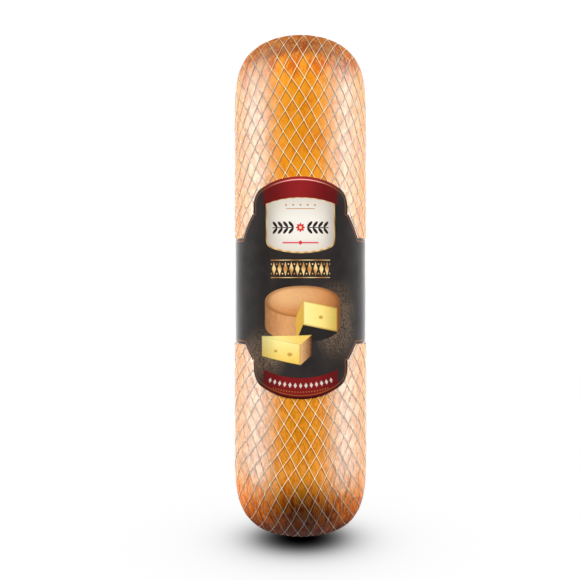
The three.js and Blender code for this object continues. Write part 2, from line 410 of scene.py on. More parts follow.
def seamPaths():
    quarter = math.pi / 2
    rim = math.asin(net["rimRadius"] / log["radius"])
    paths = []
    for name, end, fromTurn, toTurn in (
        ("top", topEnd, -quarter, quarter),
        ("bottom", bottomEnd, -quarter, -rim),
        ("bottom", bottomEnd, rim, quarter),
    ):
        turn = np.linspace(fromTurn, toTurn, netFineness["seamSteps"][name])
        x = log["radius"] * np.sin(turn)
        z = end["start"] + end["up"] * domeHeight(end, x)
        paths.append(np.stack([x, 0 * x, z], -1))
    return paths


def netSkeleton():
    points, edges, outward, isKnot, thickness = [], [], [], [], []

    def run(path, knots, size):
        normals = outwardAt(path)
        start = len(points)
        points.extend(path / 1000)
        outward.extend(normals)
        isKnot.extend(knots)
        thickness.extend([size] * len(path))
        edges.extend((start + k, start + k + 1) for k in range(len(path) - 1))

    for slant in (1, -1):
        for column in range(net["columns"]):
            rows, knots = strand(slant, column)
            run(netPoint(strandTurn(slant, column, rows), pulledRow(rows)), knots, 1.0)
    for path in seamPaths():
        run(path, [False] * len(path), net["seamThickness"])
    piece = newPiece("threads", points, edges)
    for name, kind, key, values in (
        ("outward", "FLOAT_VECTOR", "vector", outward),
        ("isKnot", "BOOLEAN", "value", isKnot),
        ("thickness", "FLOAT", "value", thickness),
    ):
        attribute = piece.data.attributes.new(name, kind, "POINT")
        attribute.data.foreach_set(key, np.array(values, bool if kind == "BOOLEAN" else float).ravel())
    return piece


def netTree(values):
    tree, g, inlet = newShapeTree("threadsAndKnots", values)

    def stored(name, kind="FLOAT"):
        settings = {"data_type": kind}
        return g.add("GeometryNodeInputNamedAttribute", {"Name": name}, settings, "Attribute")

    outward, thickness = stored("outward", "FLOAT_VECTOR"), stored("thickness")
    # the lines are drawn down onto the rind, with each thread's middle a little over it
    asPlaced = {"transform_space": "RELATIVE"}
    cheese = g.add("GeometryNodeObjectInfo", {"Object": inlet["Rind"]}, asPlaced, "Geometry")
    toFaces = {"target_element": "FACES"}
    onRind = g.add("GeometryNodeProximity", {"Geometry": cheese}, toFaces, "Position")
    proud = g.vector("SCALE", outward, Scale=thickness * inlet["Lift"])
    lines = g.then("SetPosition", inlet["Geometry"], Position=g.vector("ADD", onRind, proud))
    curves = g.then("SetCurveRadius", g.then("MeshToCurve", lines), Radius=thickness)
    sides = inlet["Thread Sides"]
    ring = {"Resolution": sides, "Radius": inlet["Thread Radius"]}
    ring = g.add("GeometryNodeCurvePrimitiveCircle", ring)
    threads = g.then("CurveToMesh", curves, **{"Profile Curve": ring, "Fill Caps": True})
    places = g.then("MeshToPoints", lines, Selection=stored("isKnot", "BOOLEAN"))
    ball = {"Segments": sides, "Rings": inlet["Knot Rings"], "Radius": inlet["Knot Size"]}
    ball = g.add("GeometryNodeMeshUVSphere", ball)
    ball = g.then("StoreNamedAttribute", ball, Name="knot", Value=1.0)
    lying = g.add("FunctionNodeAlignRotationToVector", {"Vector": outward}, {"axis": "Z"})
    flat = g.joined(1.0, 1.0, inlet["Knot Flatness"])
    knots = g.then("InstanceOnPoints", places, Instance=ball, Rotation=lying, Scale=flat)
    both = g.then("JoinGeometry", threads)
    g.tree.links.new(knots.socket, both.socket.node.inputs[0])
    finishShape(g, inlet, both)
    return tree


thread = {
    "cream": (0.95, 0.79, 0.46),
    "knot": (0.97, 0.91, 0.76),
    "knotShare": 0.9,
    "shade": (0.66, 0.48, 0.26),  # painted shade between the plies, and worn patches
    "plyShare": 0.15,
    "wornShare": 0.2,
    "wearAndPaintedHighlight": (22.0, 2),
    "wornFrom": (0.35, 0.7),
    "footStainAndShade": (0.34, 0.18, 0.13),  # at the foot: a stain, and painted shade near the floor
    "footStainAndShadeShare": 0.8,
    "footStainAndShadeHeights": (62.0, 18.0),
    "footStainAndShadeRagged": 10.0,
    "fuzz": (0.35, 3, 0.7),
    "fuzzDepth": 0.05,
    "twistPitch": 1.25,
    "twistLean": (0.35, 0.6),
    "twistDepth": 0.03,
    "roughness": (0.45, 0.2),  # at least, and how much more where it is fuzzy
    "bumpStrength": 0.8,
    "body": {"IOR": 1.5, "Sheen Weight": 0.25, "Sheen Roughness": 0.4},
    "wax": {"Coat Weight": 1.0, "Coat IOR": 2.3, "Coat Roughness": 0.45},
}


def threadMaterial():
    material, g = newMaterial("creamThread")
    place = millimetres(g)
    x, y, z = g.parts(place)
    leanX, leanY = thread["twistLean"]
    along = z + leanX * x + leanY * y
    ply = (along * (2 * math.pi / thread["twistPitch"])).math("SINE") * 0.5 + 0.5
    fuzz = g.noise(place, *thread["fuzz"])
    wearAndPaintedHighlight = g.noise(place, *thread["wearAndPaintedHighlight"]).rising(*thread["wornFrom"])
    # painted shade between the plies, plus worn patches
    shaded = (1 - ply) * thread["plyShare"] + wearAndPaintedHighlight * thread["wornShare"]
    colour = g.tint(shaded, thread["cream"], thread["shade"])
    colour = g.tint(marked(g, "knot") * thread["knotShare"], colour, thread["knot"])
    # the thread darkens towards the foot: stain and painted shade
    stainedAndShaded = (z + wearAndPaintedHighlight * thread["footStainAndShadeRagged"]).rising(*thread["footStainAndShadeHeights"])
    colour = g.tint(stainedAndShaded * thread["footStainAndShadeShare"], colour, thread["footStainAndShade"])
    height = ply * thread["twistDepth"] + fuzz * thread["fuzzDepth"]
    normal = g.bump(height, thread["bumpStrength"])
    smooth, fuzzy = thread["roughness"]
    surface = {**thread["body"], **thread["wax"]}
    finishMaterial(g, principled(g, surface, colour, smooth + fuzz * fuzzy, normal))
    return material


cheeseShape = {
    "Around": 273,
    "Rings": 344,
    "Dent Depth": 0.45 / 1000,
    "Dent Size": 34.0 / 1000,
    "Wrinkle Depth": 0.28 / 1000,
    "Wrinkle Reach": 85.0 / 1000,
}
cheeseOutline = {  # shares count points from the middle of the foot to the crown
    "points": 1600,
    "flatEnd": 0.05,
    "bodyStart": 0.32,
    "bodyEnd": 0.5,
    "easing": 1.5,  # closes the points up towards the body
    "mergeWithin": 0.02 / 1000,
    "wrinkles": (0.13, 2.5, 0.6, 0.6),  # on a circle of radius 1
    "wrinkleClimb": 3.5,
    "footClearance": 6.0 / 1000,
    "dentDetail": 1.5,
    "wrinkleRise": 0.25,  # the share of the reach over which the wrinkles are full
}


def cheeseTree(values):
    tree, g, inlet = newShapeTree("logShape", values)
    metre = 1 / 1000
    radius = log["radius"] * metre
    flatEnd, low, high = (cheeseOutline[key] for key in ("flatEnd", "bodyStart", "bodyEnd"))
    footAngle = math.acos((log["footRadius"] / log["radius"]) ** (log["bottom"]["radial"] / 2))

    # the profile as a curve: foot, lower dome, straight body, upper dome
    line = g.add("GeometryNodeCurvePrimitiveLine", {"Start": (0, 0, 0), "End": (0, 0, 1)})
    line = g.then("ResampleCurve", line, Count=cheeseOutline["points"])
    s = g.add("GeometryNodeSplineParameter", output="Factor")
    easing = cheeseOutline["easing"]
    underAngle = ((low - s) / (low - flatEnd)).clamped() ** easing * footAngle
    overAngle = ((s - high) / (1 - high)).clamped() ** easing * (math.pi / 2)
    bodyShare = ((s - low) / (high - low)).clamped()
    bottom, top = log["bottom"], log["top"]

    def arc(angle, function, power):
        return angle.math(function).math("MAXIMUM", 0.0) ** (2 / power)

    wide = arc(underAngle, "COSINE", bottom["radial"]) * arc(overAngle, "COSINE", top["radial"])
    wide = wide * (s / flatEnd).clamped() * radius
    bodyLength = (topEnd["start"] - bottomEnd["start"]) * metre
    under = arc(underAngle, "SINE", bottom["axial"]) * (bottom["height"] * metre)
    over = arc(overAngle, "SINE", top["axial"]) * (top["height"] * metre)
    tall = bottomEnd["start"] * metre - under + bodyShare * bodyLength + over
    profile = g.then("SetPosition", line, Position=g.joined(wide, 0.0, tall))

    # turned about the upright axis
    grid = {"Vertices X": inlet["Around"], "Vertices Y": inlet["Rings"], "Size X": 1.0, "Size Y": 1.0}
    sheet = g.add("GeometryNodeMeshGrid", grid)
    across, up, _ = g.parts(g.add("GeometryNodeInputPosition"))
    sample = {"Curves": profile, "Factor": up + 0.5}
    r, _, z = g.parts(g.add("GeometryNodeSampleCurve", sample, {"mode": "FACTOR"}, "Position"))
    angle = across * (2 * math.pi)
    turned = g.joined(r * angle.math("SINE"), -1.0 * (r * angle.math("COSINE")), z)
    body = g.then("SetPosition", sheet, Position=turned)
    body = g.then("MergeByDistance", body, Distance=cheeseOutline["mergeWithin"])

    # dents, and meridian wrinkles near both ends
    position = g.add("GeometryNodeInputPosition")
    x, y, z = g.parts(position)
    dents = g.noise(position, inlet["Dent Size"], cheeseOutline["dentDetail"])
    dents = (dents - 0.5) * inlet["Dent Depth"] * 2.0
    flat = g.vector("NORMALIZE", g.joined(x, y, 0.0))
    streakPlace = g.vector("ADD", flat, g.joined(0.0, 0.0, z * cheeseOutline["wrinkleClimb"]))
    streaks = abs(g.noise(streakPlace, *cheeseOutline["wrinkles"]) - 0.5) * 2.0
    fromEnd = z.math("MINIMUM", log["height"] * metre - z)
    reach = inlet["Wrinkle Reach"]
    nearEnd = fromEnd.rising(reach, reach * cheeseOutline["wrinkleRise"])
    offFoot = fromEnd.rising(0.0, cheeseOutline["footClearance"])
    wrinkles = (0.5 - streaks) * nearEnd * inlet["Wrinkle Depth"]
    rise = (dents + wrinkles) * offFoot
    push = g.vector("SCALE", g.add("GeometryNodeInputNormal"), Scale=rise)
    body = g.then("SetPosition", body, Offset=push)
    finishShape(g, inlet, body)
    return tree


def markNet(piece):  # the rind's finish reads where the threads press from these two, for the grooves and for the painted shadow below the threads
    mesh = piece.data

    def read(items, name, kind=int, width=1):
        values = np.empty((len(items), width), kind)
        items.foreach_get(name, values.ravel())
        return values[:, 0] if width == 1 else values

    points = read(mesh.vertices, "co", float, 3)[read(mesh.loops, "vertex_index")] * 1000
    middles = read(mesh.polygons, "center", float, 3) * 1000
    middles = np.repeat(middles, read(mesh.polygons, "loop_total"), axis=0)
    for name, values in zip(("netRound", "netUp"), netPlaces(points, middles)):
        mesh.attributes.new(name, "FLOAT", "CORNER").data.foreach_set("value", values.astype(np.float32))


rind = {
    "golden": (0.78, 0.278, 0.003),
    "amber": (0.68, 0.195, 0.001),  # deeper patches
    "amberFrom": (0.42, 0.62),
    "low": (0.55, 0.176, 0.001),  # a darker copy of the golden tone towards the foot: painted shade
    "lowHeights": (215.0, 110.0),
    "lowShare": 0.8,
    "pale": (0.90, 0.36, 0.035),
    "mottleFrom": (0.54, 0.66),
    "mottleShare": 0.3,
    "fleckShare": 0.55,  # pale flecks between the flakes
    "rust": (0.55, 0.088, 0.002),  # smoked ends, partly painted shade
    # near black, at the foot and the very top: smoked rind deepened by painted shade
    "foot": (0.115, 0.0135, 0.0006),
    # how ragged the edges of the smoked, shaded ends are, by patches and by streaks
    "ragged": {"cap": (60.0, 20.0), "foot": (30.0, 70.0), "crown": (0.0, 0.0)},
    # smoked ends, partly painted shade: heights over which each deepens, its share in the flakes and its
    # share everywhere
    "smokedAndShadedEnds": (
        ("cap", "rust", (384.0, 412.0), 0.8, 0.2),
        ("foot", "rust", (60.0, 26.0), 0.25, 0.75),
        ("foot", "foot", (36.0, 6.0), 0.2, 0.76),
        ("crown", "foot", (404.0, 433.0), 0.2, 0.32),
    ),
    "crest": (0.86, 0.34, 0.08),  # painted highlight on the crests of the wrinkles
    "crestHighlightShare": 0.5,
    "crestSharpness": 14.0,
    "footWrinkles": (100.0, 55.0),
    "capWrinkles": (385.0, 415.0),
    "capWrinkleShare": 0.6,
    "wrinklesStart": (8.0, 40.0),
    "seat": (0.22, 0.062, 0.002),  # painted shadow of each thread on the rind, just below it
    "paintedThreadShadowShare": 0.85,
    "paintedThreadShadowMiddle": 0.64,  # middle of the painted shadow, below the thread's middle
    "paintedThreadShadowWidth": 0.5,
    # shares of the height, which stretch the noises upwards
    "squat": 0.6,
    "tall": 0.5,
    "meridian": (60.0, 0.4),  # a circle's radius, and a share of the height
    # noises: size, detail, roughness and distortion
    "patches": (15.0, 3, 0.55, 0.4),
    "mottle": (6.0, 4, 0.62, 0.5),
    "streaks": (5.0, 3, 0.5, 0.8),
    "fine": (1.8, 3, 0.65),
    "grain": (0.7, 3, 0.6),
    "grainDepth": 0.035,
    "waves": (5.0, 3, 0.55, 0.3),
    "waveDepth": 0.09,
    "ripples": (2.4, 2, 0.5, 0.4),
    "rippleDepth": 0.09,
    "flakes": (3.6, 4, 0.6, 1.2),
    "flakeEdge": (0.475, 0.525),
    "flakeDepth": 0.04,
    "foldDepth": 0.30,
    "grooveDepth": 0.08,
    "grooveWidth": 0.6,
    "roughness": (0.42, 0.12),
    # what takes wax away: the flakes, the foot, the cap and the painted shadow below the threads
    "waxLoss": {"flakes": 0.35, "foot": 0.8, "cap": 0.5, "seat": 0.25},
    "dullFoot": (66.0, 34.0),
    "dullCap": (400.0, 420.0),
    "body": {"IOR": 1.3, "Specular IOR Level": 0.1, "Coat IOR": 2.1, "Coat Roughness": 0.22},
}


def rindMaterial():
    material, g = newMaterial("smokedRind")
    place = millimetres(g)
    x, y, z = g.parts(place)
    squat, tall = (g.joined(x, y, z * rind[name]) for name in ("squat", "tall"))
    around, climb = rind["meridian"]
    flat = g.vector("SCALE", g.vector("NORMALIZE", g.joined(x, y, 0.0)), Scale=around)
    meridian = g.vector("ADD", flat, g.joined(0.0, 0.0, z * climb))

    def noise(where, name):
        return g.noise(where, *rind[name])

    patches, mottle = noise(squat, "patches"), noise(squat, "mottle")
    flakes = noise(tall, "flakes").rising(*rind["flakeEdge"])
    streaks = noise(meridian, "streaks")
    crests = (1.0 - abs(streaks - 0.5) * rind["crestSharpness"]).clamped()

    # how far each point lies below the nearest thread of either slant: a groove along each thread, and a
    # painted shadow line just below it
    netRound, netUp = marked(g, "netRound"), marked(g, "netUp")
    columnWidth = log["radius"] * float(turnAt(0.5) - turnAt(-0.5))
    strandGap = 1 / math.hypot(1 / columnWidth, 1 / net["rowPitch"])
    groove, seat = 0.0, 0.0
    for slant in (1, -1):
        below = ((netRound - netUp * slant + 0.5).math("FRACT") - 0.5) * (slant * strandGap)
        groove = groove + (below * below * (-1 / rind["grooveWidth"] ** 2)).math("EXPONENT")
        under = (below - rind["paintedThreadShadowMiddle"]) * (1 / rind["paintedThreadShadowWidth"])
        seat = seat + (under * under * -1.0).math("EXPONENT")
    hasNet = (x * x + y * y).math("SQRT").rising(net["rimRadius"] - 1, net["rimRadius"] + 1)
    hasNet = hasNet.math("MAXIMUM", z.math("GREATER_THAN", net["rimBelow"]))
    # painted shadow of the threads, only where the net lies
    seat = seat.clamped() * hasNet

    edges = {}
    for end, (byPatch, byStreak) in rind["ragged"].items():
        edges[end] = z + (patches - 0.5) * byPatch + (streaks - 0.5) * byStreak
    nearEnd = z.rising(*rind["footWrinkles"]) + z.rising(*rind["capWrinkles"]) * rind["capWrinkleShare"]
    # painted highlight along the wrinkles' crests near both ends
    wearAndPaintedHighlight = crests * nearEnd * z.rising(*rind["wrinklesStart"])
    tints = [
        ("amber", patches.rising(*rind["amberFrom"])),
        # painted shade: the golden tone darkens towards the foot
        ("low", z.rising(*rind["lowHeights"]) * rind["lowShare"]),
        ("pale", mottle.rising(*rind["mottleFrom"]) * rind["mottleShare"]),
        ("pale", (1.0 - flakes) * rind["fleckShare"]),
    ]
    # smoked ends, partly painted shade at the foot and the crown
    for end, tone, heights, inFlakes, everywhere in rind["smokedAndShadedEnds"]:
        tints.append((tone, edges[end].rising(*heights) * (flakes * inFlakes + everywhere)))
    # painted highlight on the crests, and painted shadow below the threads
    tints += [("crest", wearAndPaintedHighlight * rind["crestHighlightShare"]), ("seat", seat * rind["paintedThreadShadowShare"])]
    colour = rind["golden"]
    for tone, share in tints:
        colour = g.tint(share, colour, rind[tone])

    height = noise(place, "grain") * rind["grainDepth"] + noise(squat, "waves") * rind["waveDepth"]
    height = height + noise(tall, "ripples") * rind["rippleDepth"] + flakes * rind["flakeDepth"]
    height = height - (1.0 - crests) * nearEnd * rind["foldDepth"]
    height = height - groove * hasNet * rind["grooveDepth"]
    normal = g.bump(height)
    loss = rind["waxLoss"]
    dullEnds = edges["foot"].rising(*rind["dullFoot"]) * loss["foot"]
    dullEnds = dullEnds + edges["cap"].rising(*rind["dullCap"]) * loss["cap"]
    waxed = (1.0 - flakes * loss["flakes"]) * (1.0 - dullEnds) * (1.0 - seat * loss["seat"])
    smooth, rough = rind["roughness"]
    roughness = smooth + noise(place, "fine") * rough
    surface = {**rind["body"], "Coat Weight": waxed}
    finishMaterial(g, principled(g, surface, colour, roughness, normal))
    return material


label = {
    "innerRadius": 59.1,
    "thickness": 0.3,
    "band": (167.0, 257.5),
    "halfWidth": 43.2,
    "arcRadius": 72.0,
    "cornerRadius": 14.0,
    "top": {"apex": 307.1, "neck": 279.1, "foot": 58.0, "bulge": 1.0},
    "bottom": {"apex": 124.1, "neck": 152.6, "foot": 55.0, "bulge": 0.6},
    "ripple": 0.05,
    "ripples": ((5, 17, 0), (9, -11, 1)),  # waves round, millimetres to a radian upwards, phase
    "lapWidth": 11.0,
    "lapHeight": 0.14,
    "edgeDrop": 0.12,  # the film thins at both edges
}
labelFineness = {
    "rows": 64,
    "badge": 46,
    "flare": 14,
    "band": 62,
    "steps": (0.05, 1.8, 0.4),  # from the badge to its flare, to the band and to the lap
    "edge": 40,
}
outerRadius = label["innerRadius"] + label["thickness"]
cornerAlong = label["halfWidth"] - label["cornerRadius"]
cornerRise = math.sqrt((label["arcRadius"] - label["cornerRadius"]) ** 2 - cornerAlong**2)


def badgeEdge(badge, along):
    inward = -1 if badge is label["top"] else 1
    bandEdge = label["band"][1 if badge is label["top"] else 0]
    arcCentre = badge["apex"] + inward * label["arcRadius"]
    tangent = cornerAlong * label["arcRadius"] / (label["arcRadius"] - label["cornerRadius"])
    along = np.abs(along)
    arc = arcCentre - inward * np.sqrt(np.maximum(label["arcRadius"] ** 2 - along**2, 0))
    turn = np.sqrt(np.maximum(label["cornerRadius"] ** 2 - (along - cornerAlong) ** 2, 0))
    corner = arcCentre - inward * (cornerRise + turn)
    share = np.clip((along - label["halfWidth"]) / (badge["foot"] - label["halfWidth"]), 0, 1)
    flare = badge["neck"] + (bandEdge - badge["neck"]) * share
    flare = flare - inward * badge["bulge"] * np.sin(np.pi * share)
    edge = np.where(along <= tangent, arc, np.where(along <= label["halfWidth"], corner, flare))
    return np.where(along >= badge["foot"], bandEdge, edge)


def labelPiece():
    halfRound = math.pi * outerRadius
    lap = label["lapWidth"] / 2
    toFlare, toBand, toLap = labelFineness["steps"]
    flareEnd = label["top"]["foot"]
    half = [
        *np.sin(np.linspace(0, math.pi / 2, labelFineness["badge"])) * label["halfWidth"],
        *np.linspace(label["halfWidth"] + toFlare, flareEnd, labelFineness["flare"]),
        *np.linspace(flareEnd + toBand, halfRound - lap - toLap, labelFineness["band"]),
    ]
    back = [halfRound - lap, halfRound - lap / 2, halfRound]
    stations = np.array([*half, *back, *[-a for a in back[-2::-1]], *[-a for a in half[:0:-1]]])
    count, rows = len(stations), labelFineness["rows"]
    top, bottom = badgeEdge(label["top"], stations), badgeEdge(label["bottom"], stations)
    share = np.linspace(0, 1, rows)
    z = bottom[:, None] + (top - bottom)[:, None] * share[None, :]
    angle = stations[:, None] / outerRadius + 0 * z
    ripple = sum(np.sin(waves * angle + z / rise + phase) for waves, rise, phase in label["ripples"])
    ripple = label["ripple"] * ripple / 2
    onLap = np.abs(stations) >= halfRound - lap
    raised = label["lapHeight"] * np.where(onLap, 1, 0)[:, None]
    taper = 1.0
    for inward in (share, 1 - share):
        taper = taper * np.sin(np.clip(inward * labelFineness["edge"], 0, math.pi / 2))
    taper = taper[None, :]
    outer = outerRadius - label["edgeDrop"] * (1 - taper) + (ripple + raised) * taper
    inner = label["innerRadius"] + 0 * z
    points, faces = [], []
    for radius in (outer, inner):
        shell = np.stack([radius * np.sin(angle), -radius * np.cos(angle), z], -1)
        points += list(shell.reshape(-1, 3) / 1000)

    def at(station, shell, row):
        return shell * count * rows + (station % count) * rows + row

    ring = [(0, j) for j in range(rows)] + [(1, j) for j in reversed(range(rows))]
    for k in range(count):
        for low, high in zip(ring, ring[1:] + ring[:1]):
            faces.append((at(k, *low), at(k + 1, *low), at(k + 1, *high), at(k, *high)))
    piece = newPiece("labelBand", points, (), faces)
    piece.data.polygons.foreach_set("use_smooth", [True] * len(faces))
    return piece


printing = {
    "film": (0.021, 0.018, 0.017),
    "filmLight": (0.036, 0.031, 0.030),  # faint cloud in the black
    "filmCloud": (0.3, 0.75),
    "dust": (0.23, 0.155, 0.10),  # brown haze behind the wheel
    "red": (0.27, 0.017, 0.018),
    "redShade": (0.125, 0.008, 0.009),
    "outline": (0.27, 0.082, 0.020),
    "outlineLight": (0.90, 0.40, 0.37),  # painted highlight at the middle of the head
    "gold": (0.50, 0.22, 0.045),
    "goldLight": (0.88, 0.64, 0.28),
    "cream": (0.80, 0.765, 0.70),
    "creamShade": (0.60, 0.545, 0.465),
    "ink": (0.022, 0.013, 0.012),
    "accent": (0.62, 0.03, 0.045),
    "crust": (0.52, 0.20, 0.060),
    "crustLight": (0.72, 0.40, 0.18),
    "crustDark": (0.11, 0.030, 0.010),
    "paste": (0.80, 0.52, 0.085),
    "pasteLight": (0.90, 0.80, 0.33),
    "pasteDark": (0.50, 0.23, 0.03),
    "pasteEdge": 0.7,  # how dark the paste is beside the crust
    "lineInset": 2.2,
    "lineWidth": 0.8,
    "glintHeights": (288.0, 304.0),  # where the painted highlight lies on that line
    "glintSides": (30.0, 4.0),
    "blur": 0.25,  # width of a printed edge
    "softBlur": 0.5,
    "matt": {"IOR": 1.22, "Specular IOR Level": 0.12},
    "mattRoughness": (0.38, 0.08),
    "filmRoughness": 0.16,
    "filmGloss": 5.0,  # share of the room that the film mirrors edge on
    "filmFall": 9.0,  # how fast that falls towards the front
    "cloud": (26, 3, 0.6),
    "speck": (1.5, 3, 0.75),
    "speckDepth": 0.012,
    "wave": (9.0, 2),
    "waveDepth": 0.05,
    "bumpStrength": 0.6,
}
# millimetres round the curve from the front, and heights
haze = {
    "spots": ((33.0, 188.0, 25.0, 40.0), (-34.0, 160.0, 26.0, 26.0)),  # middles and reaches
    "edge": (1.0, 0.3),
    "specks": (0.34, 0.62),
    "clouds": (0.2, 0.5),
    "strength": 0.95,
}
redFields = {
    "head": {"middle": 192.7, "radius": 97.0, "start": 270.0, "halfWidth": 32.5},
    "foot": {"middle": 228.2, "radius": 87.0, "start": 170.0, "halfWidth": 32.7},
    "shadeReach": 22.0,
    "shade": 0.85,  # the rest of it is cloud
    "clouds": (0.4, 0.7),
    "lowShade": (160.0, 140.0),
    "lowShadeShare": 0.6,
}
plaque = {
    "halfWidth": 30.0,
    "middle": 318.2,
    "radius": 74.3,
    "cornerRadius": 7.0,
    "border": 1.2,
    "topBorder": 0.5,
    "sheen": (0.9, 0.35, 0.35),
    "light": (0.0, 266.0, 30.0, 28.0),
    "shade": (0.15, 1.15),
}
emblem = {
    "height": 265.0,
    "start": 5.4,
    "leaves": 4,
    "leafPitch": 4.6,
    "leafLong": 3.1,
    "leafWide": 1.2,
    "leafLean": 50.0,
    "leafOut": 0.85,
    "stem": 0.4,
    "rosette": {"radius": 3.2, "petals": 8.0, "petalDepth": 0.6, "heart": 1.1},
    "rule": {"drop": 12.5, "half": 0.55, "reach": 15.0, "lozenge": 2.0},
    "hairline": {"rise": 15.5, "half": 0.3, "reach": 12.0},
    "dots": {"rise": 18.6, "radius": 0.8, "pitch": 6.0, "reach": 14.0},
}
frieze = {
    "height": 231.0,
    "halfWidth": 25.2,
    "pitch": 5.0,
    "lozenge": (1.75, 5.6),
    "dotRise": 0.7,
    "dot": 0.6,
    "ruleAt": 7.2,
    "rule": 0.28,
    "sheen": (0.33, 0.5, 0.5),
}
wheel = {
    "middle": (2.0, 204.0),
    "radius": 33.0,
    "squash": 13.0,
    "wall": 20.0,
    "light": (-12.0, 5.0, 40.0, 16.0),
    "shade": (0.1, 1.1),
    "specks": 0.7,
    "rim": (0.80, 1.0),  # a darker ring round the top
    "rimShare": 0.5,
    "topEdge": 0.985,
    "wallLight": -0.35,  # in units of the radius
    "wallFall": 0.85,
    "wallCrust": 0.45,
    "grain": (2.2, 3, 0.7),
    "grainStretch": (1.0, 1.0, 0.35),
    "grainShare": 0.9,
    "cutTo": ((-3.7, 191.2), (32.2, 198.6)),
    "cutFrom": 1.0,
    "boardDrop": 3.0,
    "cutGap": 0.3,
    "pasteTones": (0.1, 0.85),  # from the middle to the right
    "cutRind": (1.6, 0.2),
    "turnedTone": 0.45,
}
wedge = {
    "tip": (-34.0, 175.0),
    "front": (0.0, 168.5),
    "back": (9.0, 176.5),
    "wall": 16.5,
    "sideRise": 24.0,  # over which the cut side grows lighter
    "edge": (-2.0, 0.2),
    "topReach": (44.0, 30.0),
}
eyes = {
    "spots": ((-21.0, 163.0, 1.5, 1.1), (-9.0, 160.5, 2.1, 1.5), (17.0, 191.0, 1.8, 1.4)),
    "strength": 0.8,
}
footMarks = {
    "radius": 93.0,
    "mark": {"radius": 93.3, "pitch": 4.4, "size": 1.35, "slimness": 0.6, "reach": 28.5},
    "dot": {"radius": 98.6, "pitch": 2.2, "size": 0.5, "reach": 24.0},
}


class Sheet:  # the unrolled label; a shape is a signed distance in millimetres, positive inside
    def __init__(self, g, place):
        self.g = g
        self.place = place
        x, y, self.z = g.parts(place)
        self.s = x.math("ARCTAN2", -1.0 * y) * outerRadius  # round the curve, 0 at the front
        self.side = abs(self.s)
        self.cloud = g.noise(place, *printing["cloud"])
        self.speck = g.noise(place, *printing["speck"])
        self.rough = (self.speck - 0.5) * 0.5
        self.colour = None

    def blend(self, share, under, over):  # inks by name, or colours made before
        inks = [printing[ink] if isinstance(ink, str) else ink for ink in (under, over)]
        return self.g.tint(share, *inks)

    def grainy(self, share, under, over):
        return self.blend((self.rough + share).clamped(), under, over)

    def lay(self, shape, ink, strength=1.0, blur=printing["blur"]):
        covered = (shape * (1 / blur) + 0.5).clamped() * strength
        self.colour = self.blend(covered, self.colour, ink)

    def laySoft(self, shape, ink, strength=1.0):
        self.lay(shape, ink, strength, printing["softBlur"])

    def least(self, *shapes):
        return reduce(lambda made, shape: made.math("MINIMUM", shape), shapes)

    def most(self, *shapes):
        return reduce(lambda made, shape: made.math("MAXIMUM", shape), shapes)

    def away(self, across, up, wide=1.0, high=1.0):  # distance from a point, in units of wide and high
        dx = (self.s - across) * (1 / wide)
        dz = (self.z - up) * (1 / high)
        return (dx * dx + dz * dz).math("SQRT")

    def disc(self, radius, across, up):
        return radius - (across * across + up * up).math("SQRT")

    def polygon(self, *corners):  # corners run anticlockwise, and none turns inward
        sides = []
        for start, end in zip(corners[-1:] + corners[:-1], corners):
            length = math.hypot(end[0] - start[0], end[1] - start[1])
            nx, nz = -(end[1] - start[1]) / length, (end[0] - start[0]) / length
            sides.append(self.s * nx + (self.z * nz - (start[0] * nx + start[1] * nz)))
        return self.least(*sides)

    def sheen(self, across, up, depth):  # slanting bands, across and up in radians a millimetre
        return (self.s * across + self.z * up).math("SINE") * depth + 0.5

    def repeated(self, value, pitch):  # -pitch/2 to pitch/2, over and over
        return (value + pitch * 100.5).math("MODULO", pitch) - pitch / 2


def labelInside(sheet):  # how far inside the label's outline a point is
    z, side = sheet.z, sheet.side
    radius = label["arcRadius"]
    depth = sheet.least(label["top"]["apex"] - z, z - label["bottom"]["apex"])
    arcWay = sheet.disc(radius, side, depth - radius)
    cornerSide = side - cornerAlong
    cornerUp = (radius - cornerRise) - depth
    cornerWay = sheet.disc(label["cornerRadius"], cornerSide, cornerUp)
    lean = cornerRise / cornerAlong
    inCorner = cornerSide.math("GREATER_THAN", 0.0) * cornerUp.math("GREATER_THAN", 0.0)
    inCorner = inCorner * (cornerSide * lean - cornerUp).math("GREATER_THAN", 0.0)
    plain = sheet.least(arcWay, label["halfWidth"] - side)
    badge = plain + (cornerWay - plain) * inCorner
    flares = []
    low, high = label["band"]
    for end, bandEdge, up in ((label["top"], high, 1), (label["bottom"], low, -1)):
        run, rise = end["foot"] - label["halfWidth"], abs(bandEdge - end["neck"])
        length = math.hypot(run, rise)
        drop = (end["neck"] - z) * up
        share = (drop / rise).clamped()
        bulge = (share * math.pi).math("SINE") * (end["bulge"] * run / length)
        sloping = (drop * run - (side - label["halfWidth"]) * rise) / length + bulge
        flares.append(sheet.least(sloping, drop))
    inBand = sheet.least(high - z, z - low)
    return sheet.most(badge, sheet.least(*flares), inBand)


def printFilm(sheet):  # black with a faint cloud, and a brown haze round the wheel
    sheet.colour = sheet.blend(sheet.cloud.rising(*printing["filmCloud"]), "film", "filmLight")
    grit = sheet.speck.rising(*haze["specks"]) * sheet.cloud.rising(*haze["clouds"])
    hazy = 0.0
    for spot in haze["spots"]:
        hazy = hazy + sheet.away(*spot).rising(*haze["edge"])
    sheet.lay(hazy.clamped() * grit - 0.5, "dust", haze["strength"], 1.0)


def headArc(sheet):  # inside the arc under the head's red field
    head = redFields["head"]
    return head["radius"] - sheet.away(0.0, head["middle"])


